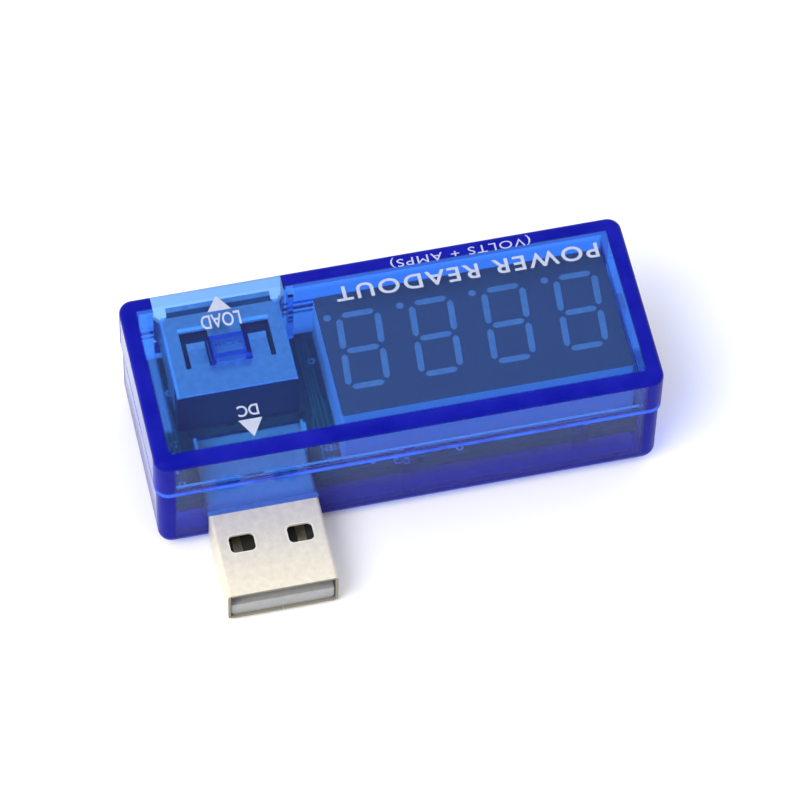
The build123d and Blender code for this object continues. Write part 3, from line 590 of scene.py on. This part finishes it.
def add_legend(name, text, low, high, spacing=1.0, weight=0.0):
    """Raised lettering that fills the box from low to high on the roof, read from the socket's side."""
    curve = bpy.data.curves.new(text, "FONT")
    curve.body = text
    curve.space_character = spacing
    curve.offset = weight
    curve.extrude = LETTER_HALF_DEPTH
    curve.resolution_u = LETTER_CURVE_STEPS
    holder = bpy.data.objects.new(text, curve)
    mesh = bpy.data.meshes.new_from_object(holder)
    bpy.data.objects.remove(holder)
    corners = [vertex.co for vertex in mesh.vertices]
    least = [min(corner[i] for corner in corners) for i in (0, 1)]
    most = [max(corner[i] for corner in corners) for i in (0, 1)]
    for vertex in mesh.vertices:
        u = (vertex.co.x - least[0]) / (most[0] - least[0])
        v = (vertex.co.y - least[1]) / (most[1] - least[1])
        x, y = on_case(high[0] + u * (low[0] - high[0]), high[1] + v * (low[1] - high[1]))
        vertex.co = (x, y, case_high.z + (vertex.co.z + LETTER_HALF_DEPTH) * PRINT_THICKNESS)
    add_piece(name, mesh, INK)


def add_arrow(name, base_y, tip_y, left, right):
    """A triangle on the roof with its base along the case; all in millimetres."""
    build = bmesh.new()
    outline = [on_case(left, base_y), on_case(right, base_y), on_case((left + right) / 2, tip_y)]
    flat_prism(build, outline if tip_y > base_y else outline[::-1], case_high.z, PRINT_THICKNESS)
    add_built(name, build, INK)


add_legend("legend_load", "LOAD", (8.3, 16.4), (12.6, 18.2), weight=0.012)
add_legend("legend_supply", "DC", (9.85, 4.75), (12.1, 6.15), weight=0.015)
add_legend("legend_name", "POWER READOUT", (23.2, 17.0), (52.2, 18.9), spacing=1.2, weight=0.015)
add_legend("legend_units", "(VOLTS + AMPS)", (29.8, 20.1), (45.3, 21.4), spacing=1.15)
add_arrow("arrow_load", base_y=18.55, tip_y=20.46, left=9.25, right=11.84)
add_arrow("arrow_supply", base_y=4.35, tip_y=2.1, left=9.7, right=12.3)

# ---- Tracks, vias and markings where the board shows ----
BOARD_TOP = board_high.z
BOARD_UNDER = board_low.z - TRACK_THICKNESS
FINE_TRACK = 0.2 * MM
TOP_TRACK = 0.22 * MM
SUPPLY_TRACK = 1.4 * MM
VIA_INNER = 0.2 * MM
VIA_OUTER = 0.42 * MM
LINE_WIDTH = 0.12 * MM
BOX_HALF = 0.6                           # half the printed boxes' depth, in millimetres


def add_tracks(name, z, paths, width):
    """Copper tracks under the solder mask; paths are in millimetres on the case."""
    build = bmesh.new()
    for path in paths:
        ribbon(build, [on_case(x, y) for x, y in path], width, z, TRACK_THICKNESS)
    add_built(name, build, SOLDER_MASK)


def add_vias(name, z, places):
    """Bare tinned rings round the vias."""
    build = bmesh.new()
    for x, y in places:
        annulus(build, *on_case(x, y), VIA_INNER, VIA_OUTER, z, TRACK_THICKNESS)
    add_built(name, build, TIN)


def add_pads(name, kinds):
    """Bare pads on the board's top, each kind by its half length, its width and its places."""
    build = bmesh.new()
    for half, width, places in kinds:
        for x, y in places:
            ends = [on_case(x - half, y), on_case(x + half, y)]
            ribbon(build, ends, width * MM, BOARD_TOP, TRACK_THICKNESS)
    add_built(name, build, TIN)


def add_boxes(name, boxes):
    """Printed boxes round the test pads, each by its middle and its half length."""
    build = bmesh.new()
    for x, y, half in boxes:
        corners = [(x - half, y - BOX_HALF), (x + half, y - BOX_HALF),
                   (x + half, y + BOX_HALF), (x - half, y + BOX_HALF)]
        for i, corner in enumerate(corners):
            ends = [on_case(*corner), on_case(*corners[(i + 1) % len(corners)])]
            ribbon(build, ends, LINE_WIDTH, BOARD_TOP + TRACK_THICKNESS, PRINT_THICKNESS)
    add_built(name, build, INK)


beside_socket = [[(18.6 + 0.55 * i, 2.9), (18.6 + 0.55 * i, 8.2 + 0.9 * i),
                  (19.0 + 0.35 * i, 9.2 + 0.9 * i), (19.0 + 0.35 * i, 18.8)] for i in range(4)]
left_end = [[(2.9 + 0.5 * i, 3.2 + 0.4 * i), (2.9 + 0.5 * i, 12.5),
             (3.1 + 0.3 * i, 13.4), (3.1 + 0.3 * i, 18.9)] for i in range(3)]
front_edge = [[(21.5, 2.75 + 0.5 * i), (30.0 + 4.0 * i, 2.75 + 0.5 * i),
               (31.0 + 4.0 * i, 3.4 + 0.5 * i), (51.5, 3.4 + 0.5 * i)] for i in range(2)]
supply = [[(6.0, 10.4), (6.0, 17.6), (8.0, 19.2), (21.0, 19.2)],
          [(17.6, 10.6), (20.5, 13.5), (20.5, 17.2)]]
bus = [[(23.0 + 0.9 * i, 17.4), (24.5 + 0.9 * i, 15.8), (24.5 + 0.9 * i, 12.6 - 0.3 * i),
        (29.0, 9.0 - 0.5 * i)] for i in range(4)]
fan = [[(31.0 + 0.65 * i, 9.0), (31.0 + 0.65 * i, 7.6), (29.5 + 1.1 * i, 6.4)] for i in range(8)]
spine = [[(38.0, 6.2 + 0.6 * i), (47.0, 6.2 + 0.6 * i), (49.0, 8.0 + 0.4 * i)] for i in range(2)]
through_vias = [(19.3, 6.2), (20.1, 15.9), (3.6, 8.4), (4.2, 15.0),
                (24.0, 3.3), (33.5, 3.0), (47.5, 3.4), (3.4, 4.6)]
lower_vias = [(27.0, 16.8), (36.2, 16.9), (42.5, 6.9), (48.6, 16.4)]
large_pads = (0.55, 0.7, [(19.9, 4.4), (19.9, 5.9)])
small_pads = (0.3, 0.5, [(3.2, 6.2), (3.2, 7.1), (26.5, 3.0), (27.6, 3.0)])

add_tracks("tracks_top", BOARD_TOP, beside_socket + left_end + front_edge, TOP_TRACK)
add_tracks("tracks_supply", BOARD_UNDER, supply, SUPPLY_TRACK)
add_tracks("tracks_under", BOARD_UNDER, bus + fan + spine, FINE_TRACK)
add_vias("via_rings", BOARD_TOP, through_vias)
add_vias("via_rings_under", BOARD_UNDER, through_vias + lower_vias)
add_pads("test_pads", [large_pads, small_pads])
add_boxes("silkscreen", [(19.9, 5.15, 1.0), (27.05, 3.0, 0.75)])


# ---- Stage, light and camera ----
FLOOR_HALF = 1.5
FLOOR_GAP = 0.02 * MM


def add_floor():
    """A pale plane just under the lowest part."""
    corners = [(x * FLOOR_HALF, y * FLOOR_HALF, 0) for x, y in ((-1, -1), (1, -1), (1, 1), (-1, 1))]
    mesh = bpy.data.meshes.new("floor")
    mesh.from_pydata(corners, [], [(0, 1, 2, 3)])
    floor = bpy.data.objects.new("floor", mesh)
    floor.location.z = cad_low.z - FLOOR_GAP
    g = Graph("floor")
    g.shader.inputs["Base Color"].default_value = (0.9, 0.9, 0.9, 1)
    g.shader.inputs["Roughness"].default_value = 0.8
    mesh.materials.append(g.material)
    bpy.context.scene.collection.objects.link(floor)


def add_area_light(name, place, target, size, power):
    data = bpy.data.lights.new(name, "AREA")
    data.shape = "DISK"
    data.size = size
    data.energy = power
    light = bpy.data.objects.new(name, data)
    light.location = place
    light.rotation_euler = (target - place).to_track_quat("-Z", "Y").to_euler()
    bpy.context.scene.collection.objects.link(light)


def add_world(front, back, front_y=-0.8, back_y=0.3):
    """White surroundings, with their own brightness in front of the case and behind it."""
    world = bpy.data.worlds.new("studio")
    world.use_nodes = True
    nodes = world.node_tree.nodes
    links = world.node_tree.links
    place = nodes.new("ShaderNodeTexCoord")
    split = nodes.new("ShaderNodeSeparateXYZ")
    links.new(place.outputs["Generated"], split.inputs["Vector"])
    span = nodes.new("ShaderNodeMapRange")
    span.inputs["From Min"].default_value = front_y
    span.inputs["From Max"].default_value = back_y
    span.inputs["To Min"].default_value = front
    span.inputs["To Max"].default_value = back
    links.new(split.outputs["Y"], span.inputs["Value"])
    links.new(span.outputs["Result"], nodes["Background"].inputs["Strength"])
    nodes["Background"].inputs["Color"].default_value = (1, 1, 1, 1)
    bpy.context.scene.world = world


def add_camera(azimuth, elevation, roll, distance, target, lens):
    """A long lens aimed at target; azimuth 0 looks along +Y, angles in degrees."""
    a = math.radians(azimuth)
    e = math.radians(elevation)
    back = Vector((math.sin(a) * math.cos(e), -math.cos(a) * math.cos(e), math.sin(e)))
    data = bpy.data.cameras.new("camera")
    data.lens = lens
    data.sensor_width = 36
    data.clip_start = 0.01
    data.clip_end = 10
    camera = bpy.data.objects.new("camera", data)
    camera.rotation_mode = "QUATERNION"
    camera.location = target + back * distance
    turn = (-back).to_track_quat("-Z", "Y")
    camera.rotation_quaternion = turn @ Matrix.Rotation(math.radians(roll), 3, "Z").to_quaternion()
    bpy.context.scene.collection.objects.link(camera)
    bpy.context.scene.camera = camera


add_floor()
add_world(front=0.5, back=1.05)
add_area_light("key", centre + Vector((-0.40, -0.22, 0.55)), centre, size=0.5, power=4.0)
add_area_light("fill", centre + Vector((0.45, -0.30, 0.60)), centre, size=0.5, power=0.7)
add_camera(azimuth=-14.2, elevation=57.1, roll=2.0, distance=0.594, lens=247.7,
           target=Vector((case_low.x + 28.36 * MM, case_low.y + 8.69 * MM, case_low.z + 8 * MM)))
bpy.context.scene.view_settings.view_transform = "Standard"
